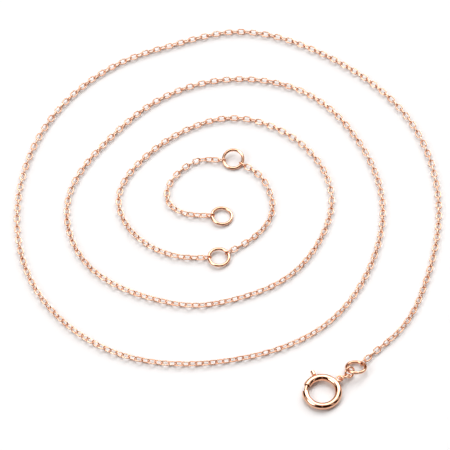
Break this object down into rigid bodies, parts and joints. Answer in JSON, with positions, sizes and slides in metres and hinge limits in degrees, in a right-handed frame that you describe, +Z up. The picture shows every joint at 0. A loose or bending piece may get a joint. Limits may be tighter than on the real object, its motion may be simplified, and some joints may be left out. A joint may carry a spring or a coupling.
{
  "type": "chain necklace",
  "caption": "Adjustable fine cable-chain necklace laid in a spiral, with a spring-ring clasp, jump and connector rings, extension rings and an end ring.",
  "frame": {"origin": "middle of the flat-laid necklace's bounding box, on the surface it lies on", "axes": "+Z up from the surface; the clasp lies towards -Y and +X, and the chain spirals in anticlockwise from it"},
  "size_m": [0.068, 0.0738, 0.002],
  "materials": {
    "chain_gold": "polished rose gold",
    "ring_gold": "polished rose gold",
    "clasp_gold": "polished rose gold",
    "spring_steel": "drawn spring wire"
  },
  "bodies": {
    "connector_ring_1": {"connector_ring_1": "ring_gold"},
    "connector_ring_2": {"connector_ring_2": "ring_gold"},
    "jump_ring": {"jump_ring": "ring_gold"},
    "chain_section_01": {"chain_section_01": "chain_gold"},
    "chain_section_02": {"chain_section_02": "chain_gold"},
    "chain_section_03": {"chain_section_03": "chain_gold"},
    "chain_section_04": {"chain_section_04": "chain_gold"},
    "chain_section_05": {"chain_section_05": "chain_gold"},
    "chain_section_06": {"chain_section_06": "chain_gold"},
    "chain_section_07": {"chain_section_07": "chain_gold"},
    "chain_section_08": {"chain_section_08": "chain_gold"},
    "chain_section_09": {"chain_section_09": "chain_gold"},
    "chain_section_10": {"chain_section_10": "chain_gold"},
    "chain_section_11": {"chain_section_11": "chain_gold"},
    "chain_section_12": {"chain_section_12": "chain_gold"},
    "chain_section_13": {"chain_section_13": "chain_gold"},
    "chain_section_14": {"chain_section_14": "chain_gold"},
    "chain_section_15": {"chain_section_15": "chain_gold"},
    "chain_section_16": {"chain_section_16": "chain_gold"},
    "chain_section_17": {"chain_section_17": "chain_gold"},
    "chain_section_18": {"chain_section_18": "chain_gold"},
    "chain_section_19": {"chain_section_19": "chain_gold"},
    "chain_section_20": {"chain_section_20": "chain_gold"},
    "chain_section_21": {"chain_section_21": "chain_gold"},
    "chain_section_22": {"chain_section_22": "chain_gold"},
    "chain_section_23": {"chain_section_23": "chain_gold"},
    "chain_section_24": {"chain_section_24": "chain_gold"},
    "chain_section_25": {"chain_section_25": "chain_gold"},
    "chain_section_26": {"chain_section_26": "chain_gold"},
    "chain_section_27": {"chain_section_27": "chain_gold"},
    "chain_section_28": {"chain_section_28": "chain_gold"},
    "chain_section_29": {"chain_section_29": "chain_gold"},
    "chain_section_30": {"chain_section_30": "chain_gold"},
    "chain_section_31": {"chain_section_31": "chain_gold"},
    "chain_section_32": {"chain_section_32": "chain_gold"},
    "chain_section_33": {"chain_section_33": "chain_gold"},
    "chain_section_34": {"chain_section_34": "chain_gold"},
    "chain_section_35": {"chain_section_35": "chain_gold"},
    "chain_section_36": {"chain_section_36": "chain_gold"},
    "chain_section_37": {"chain_section_37": "chain_gold"},
    "chain_section_38": {"chain_section_38": "chain_gold"},
    "chain_section_39": {"chain_section_39": "chain_gold"},
    "chain_section_40": {"chain_section_40": "chain_gold"},
    "chain_section_41": {"chain_section_41": "chain_gold"},
    "chain_section_42": {"chain_section_42": "chain_gold"},
    "chain_section_43": {"chain_section_43": "chain_gold"},
    "extension_ring_1": {"extension_ring_1": "ring_gold"},
    "extension_1_section_01": {"extension_1_section_01": "chain_gold"},
    "extension_1_section_02": {"extension_1_section_02": "chain_gold"},
    "extension_ring_2": {"extension_ring_2": "ring_gold"},
    "extension_2_section_01": {"extension_2_section_01": "chain_gold"},
    "extension_2_section_02": {"extension_2_section_02": "chain_gold"},
    "end_ring": {"end_ring": "ring_gold"},
    "clasp": {"clasp_body": "clasp_gold", "clasp_eyelet": "ring_gold", "clasp_spring": "spring_steel"},
    "clasp_slider": {"clasp_tongue": "clasp_gold", "clasp_thumb_knob": "clasp_gold"}
  },
  "joints": [
    {"name": "clasp_trigger", "type": "hinge", "parent": "clasp", "child": "clasp_slider", "pos_m": [0.01424, -0.03389, 0.00072], "axis": [-0.0117, -0.0438, 0.999], "range_deg": [-40, 0], "stiffness_Nm_per_rad": 0.006, "springref_deg": 20.05, "deforming": ["clasp_spring"]},
    {"name": "clasp_swing", "type": "hinge", "parent": "connector_ring_1", "child": "clasp", "pos_m": [0.01738, -0.03143, 0.00087], "axis": [-0.4001, 0.9158, 0.0355], "range_deg": [-20, 20]},
    {"name": "connector_1_swing", "type": "hinge", "parent": "connector_ring_2", "child": "connector_ring_1", "pos_m": [0.01797, -0.03124, 0.00097], "axis": [0.4985, -0.2455, -0.8314], "range_deg": [-30, 30]},
    {"name": "connector_2_swing", "type": "hinge", "parent": "jump_ring", "child": "connector_ring_2", "pos_m": [0.01837, -0.03055, 0.00135], "axis": [0.6382, -0.7087, 0.3008], "range_deg": [-30, 30]},
    {"name": "jump_ring_swing", "type": "hinge", "parent": "chain_section_01", "child": "jump_ring", "pos_m": [0.02046, -0.02871, 0.00057], "axis": [-0.739, 0.6201, -0.2632], "range_deg": [-40, 40]},
    {"name": "end_ring_swing", "type": "hinge", "parent": "extension_2_section_02", "child": "end_ring", "pos_m": [-0.00258, -0.00104, 0.00057], "axis": [0.0131, 0.9999, 0], "range_deg": [-40, 40]},
    {"name": "extension_ring_1_swing", "type": "hinge", "parent": "chain_section_43", "child": "extension_ring_1", "pos_m": [-0.00303, -0.00911, 0.00057], "axis": [-0.0297, 0.9994, 0.0168], "range_deg": [-40, 40]},
    {"name": "extension_1_swing", "type": "hinge", "parent": "extension_ring_1", "child": "extension_1_section_01", "pos_m": [-0.00011, -0.00823, 0.00057], "axis": [-0.5299, 0.8479, 0.0168], "range_deg": [-40, 40]},
    {"name": "extension_1_joint_01", "type": "hinge", "parent": "extension_1_section_01", "child": "extension_1_section_02", "pos_m": [0.00706, -0.00002, 0.00056], "axis": [-0.916, 0.2108, -0.3414], "range_deg": [-40, 40]},
    {"name": "extension_ring_2_swing", "type": "hinge", "parent": "extension_1_section_02", "child": "extension_ring_2", "pos_m": [0.00215, 0.00914, 0.00056], "axis": [-0.5323, -0.8001, -0.2766], "range_deg": [-40, 40]},
    {"name": "extension_2_swing", "type": "hinge", "parent": "extension_ring_2", "child": "extension_2_section_01", "pos_m": [-0.00075, 0.00986, 0.00056], "axis": [0.0971, -0.9561, -0.2766], "range_deg": [-40, 40]},
    {"name": "extension_2_joint_01", "type": "hinge", "parent": "extension_2_section_01", "child": "extension_2_section_02", "pos_m": [-0.00956, 0.00466, 0.00056], "axis": [0.8652, -0.3672, -0.3414], "range_deg": [-40, 40]},
    {"name": "link_joint_22", "type": "hinge", "parent": "chain_section_22", "child": "chain_section_23", "pos_m": [0.02418, -0.00413, 0.00056], "axis": [-0.9546, 0.1885, -0.2306], "range_deg": [-40, 40]},
    {"name": "link_joint_23", "type": "hinge", "parent": "chain_section_23", "child": "chain_section_24", "pos_m": [0.02396, 0.00618, 0.00056], "axis": [0.9211, 0.1894, 0.3402], "range_deg": [-40, 40]},
    {"name": "link_joint_24", "type": "hinge", "parent": "chain_section_24", "child": "chain_section_25", "pos_m": [0.02001, 0.01575, 0.00056], "axis": [-0.8373, -0.4777, -0.266], "range_deg": [-40, 40]},
    {"name": "link_joint_25", "type": "hinge", "parent": "chain_section_25", "child": "chain_section_26", "pos_m": [0.01309, 0.02337, 0.00056], "axis": [0.5692, 0.8037, 0.1737], "range_deg": [-40, 40]},
    {"name": "link_joint_26", "type": "hinge", "parent": "chain_section_26", "child": "chain_section_27", "pos_m": [0.00328, 0.02643, 0.00056], "axis": [-0.0788, -0.9588, -0.273], "range_deg": [-40, 40]},
    {"name": "link_joint_27", "type": "hinge", "parent": "chain_section_27", "child": "chain_section_28", "pos_m": [-0.00686, 0.02463, 0.00056], "axis": [-0.3413, 0.8769, 0.3384], "range_deg": [-40, 40]},
    {"name": "link_joint_28", "type": "hinge", "parent": "chain_section_28", "child": "chain_section_29", "pos_m": [-0.01532, 0.01872, 0.00056], "axis": [0.6832, -0.6951, -0.2239], "range_deg": [-40, 40]},
    {"name": "link_joint_29", "type": "hinge", "parent": "chain_section_29", "child": "chain_section_30", "pos_m": [-0.02186, 0.01067, 0.00056], "axis": [-0.8047, 0.5637, 0.1864], "range_deg": [-40, 40]},
    {"name": "link_joint_30", "type": "hinge", "parent": "chain_section_30", "child": "chain_section_31", "pos_m": [-0.02562, 0.00111, 0.00056], "axis": [0.9442, -0.1073, -0.3114], "range_deg": [-40, 40]},
    {"name": "link_joint_31", "type": "hinge", "parent": "chain_section_31", "child": "chain_section_32", "pos_m": [-0.02321, -0.00883, 0.00056], "axis": [-0.8313, -0.4569, 0.3166], "range_deg": [-40, 40]},
    {"name": "link_joint_32", "type": "hinge", "parent": "chain_section_32", "child": "chain_section_33", "pos_m": [-0.0154, -0.01544, 0.00056], "axis": [0.4355, 0.8798, -0.1905], "range_deg": [-40, 40]},
    {"name": "link_joint_33", "type": "hinge", "parent": "chain_section_33", "child": "chain_section_34", "pos_m": [-0.00542, -0.0181, 0.00056], "axis": [-0.0624, -0.9741, 0.2175], "range_deg": [-40, 40]},
    {"name": "link_joint_34", "type": "hinge", "parent": "chain_section_34", "child": "chain_section_35", "pos_m": [0.0046, -0.01563, 0.00056], "axis": [-0.3593, 0.8706, -0.3361], "range_deg": [-40, 40]},
    {"name": "link_joint_35", "type": "hinge", "parent": "chain_section_35", "child": "chain_section_36", "pos_m": [0.01253, -0.00916, 0.00056], "axis": [0.7774, -0.5633, 0.28], "range_deg": [-40, 40]},
    {"name": "link_joint_36", "type": "hinge", "parent": "chain_section_36", "child": "chain_section_37", "pos_m": [0.01642, 0.00039, 0.00056], "axis": [-0.9697, 0.1711, -0.1743], "range_deg": [-40, 40]},
    {"name": "link_joint_37", "type": "hinge", "parent": "chain_section_37", "child": "chain_section_38", "pos_m": [0.0141, 0.01031, 0.00056], "axis": [0.8393, 0.478, 0.2588], "range_deg": [-40, 40]},
    {"name": "link_joint_38", "type": "hinge", "parent": "chain_section_38", "child": "chain_section_39", "pos_m": [0.00641, 0.01708, 0.00056], "axis": [-0.4269, -0.8374, -0.3414], "range_deg": [-40, 40]},
    {"name": "link_joint_39", "type": "hinge", "parent": "chain_section_39", "child": "chain_section_40", "pos_m": [-0.00366, 0.01753, 0.00056], "axis": [-0.3058, 0.922, 0.2375], "range_deg": [-40, 40]},
    {"name": "link_joint_40", "type": "hinge", "parent": "chain_section_40", "child": "chain_section_41", "pos_m": [-0.01221, 0.01176, 0.00056], "axis": [0.6857, -0.7053, -0.1798], "range_deg": [-40, 40]},
    {"name": "link_joint_41", "type": "hinge", "parent": "chain_section_41", "child": "chain_section_42", "pos_m": [-0.01742, 0.00297, 0.00056], "axis": [-0.9353, 0.1881, 0.2997], "range_deg": [-40, 40]},
    {"name": "link_joint_42", "type": "hinge", "parent": "chain_section_42", "child": "chain_section_43", "pos_m": [-0.01335, -0.00616, 0.00056], "axis": [0.6508, 0.6858, -0.3259], "range_deg": [-40, 40]},
    {"name": "link_joint_21", "type": "hinge", "parent": "chain_section_22", "child": "chain_section_21", "pos_m": [0.02085, -0.01394, 0.00056], "axis": [-0.8655, 0.4663, -0.1828], "range_deg": [-40, 40]},
    {"name": "link_joint_20", "type": "hinge", "parent": "chain_section_21", "child": "chain_section_20", "pos_m": [0.01454, -0.0221, 0.00056], "axis": [0.5889, -0.7481, 0.3057], "range_deg": [-40, 40]},
    {"name": "link_joint_19", "type": "hinge", "parent": "chain_section_20", "child": "chain_section_19", "pos_m": [0.0054, -0.0269, 0.00056], "axis": [-0.269, 0.9079, -0.3215], "range_deg": [-40, 40]},
    {"name": "link_joint_18", "type": "hinge", "parent": "chain_section_19", "child": "chain_section_18", "pos_m": [-0.0048, -0.02874, 0.00056], "axis": [0.0351, -0.9802, 0.195], "range_deg": [-40, 40]},
    {"name": "link_joint_17", "type": "hinge", "parent": "chain_section_18", "child": "chain_section_17", "pos_m": [-0.01507, -0.02759, 0.00056], "axis": [0.3188, 0.924, -0.2113], "range_deg": [-40, 40]},
    {"name": "link_joint_16", "type": "hinge", "parent": "chain_section_17", "child": "chain_section_16", "pos_m": [-0.02402, -0.02247, 0.00056], "axis": [-0.6377, -0.6944, 0.3332], "range_deg": [-40, 40]},
    {"name": "link_joint_15", "type": "hinge", "parent": "chain_section_16", "child": "chain_section_15", "pos_m": [-0.03037, -0.01433, 0.00056], "axis": [0.8649, 0.4118, -0.2868], "range_deg": [-40, 40]},
    {"name": "link_joint_14", "type": "hinge", "parent": "chain_section_15", "child": "chain_section_14", "pos_m": [-0.03329, -0.00441, 0.00056], "axis": [-0.9794, -0.0995, 0.1756], "range_deg": [-40, 40]},
    {"name": "link_joint_13", "type": "hinge", "parent": "chain_section_14", "child": "chain_section_13", "pos_m": [-0.03308, 0.00595, 0.00056], "axis": [0.9538, -0.1644, -0.2517], "range_deg": [-40, 40]},
    {"name": "link_joint_12", "type": "hinge", "parent": "chain_section_13", "child": "chain_section_12", "pos_m": [-0.03009, 0.01586, 0.00056], "axis": [-0.8435, 0.4143, 0.3419], "range_deg": [-40, 40]},
    {"name": "link_joint_11", "type": "hinge", "parent": "chain_section_12", "child": "chain_section_11", "pos_m": [-0.02433, 0.02445, 0.00056], "axis": [0.7007, -0.6702, -0.2445], "range_deg": [-40, 40]},
    {"name": "link_joint_10", "type": "hinge", "parent": "chain_section_11", "child": "chain_section_10", "pos_m": [-0.01617, 0.0308, 0.00056], "axis": [-0.4362, 0.8822, 0.1774], "range_deg": [-40, 40]},
    {"name": "link_joint_09", "type": "hinge", "parent": "chain_section_10", "child": "chain_section_09", "pos_m": [-0.00651, 0.03461, 0.00056], "axis": [0.3153, -0.9025, -0.2934], "range_deg": [-40, 30]},
    {"name": "link_joint_08", "type": "hinge", "parent": "chain_section_09", "child": "chain_section_08", "pos_m": [0.00363, 0.03638, 0.00056], "axis": [0.1271, 0.9355, 0.3298], "range_deg": [-40, 40]},
    {"name": "link_joint_07", "type": "hinge", "parent": "chain_section_08", "child": "chain_section_07", "pos_m": [0.01341, 0.03309, 0.00056], "axis": [-0.4777, -0.8542, -0.2055], "range_deg": [-40, 40]},
    {"name": "link_joint_06", "type": "hinge", "parent": "chain_section_07", "child": "chain_section_06", "pos_m": [0.02196, 0.02721, 0.00056], "axis": [0.6511, 0.7322, 0.2001], "range_deg": [-40, 40]},
    {"name": "link_joint_05", "type": "hinge", "parent": "chain_section_06", "child": "chain_section_05", "pos_m": [0.02874, 0.0194, 0.00056], "axis": [-0.8161, -0.4772, -0.3259], "range_deg": [-40, 40]},
    {"name": "link_joint_04", "type": "hinge", "parent": "chain_section_05", "child": "chain_section_04", "pos_m": [0.03261, 0.00981, 0.00056], "axis": [0.9331, 0.1986, 0.2997], "range_deg": [-40, 40]},
    {"name": "link_joint_03", "type": "hinge", "parent": "chain_section_04", "child": "chain_section_03", "pos_m": [0.03349, -0.00051, 0.00056], "axis": [-0.9814, 0.0676, -0.1798], "range_deg": [-40, 40]},
    {"name": "link_joint_02", "type": "hinge", "parent": "chain_section_03", "child": "chain_section_02", "pos_m": [0.03174, -0.01073, 0.00056], "axis": [0.9331, -0.27, 0.2375], "range_deg": [-40, 40]},
    {"name": "link_joint_01", "type": "hinge", "parent": "chain_section_02", "child": "chain_section_01", "pos_m": [0.02803, -0.0204, 0.00056], "axis": [-0.7982, 0.4964, -0.3414], "range_deg": [-40, 40]}
  ]
}
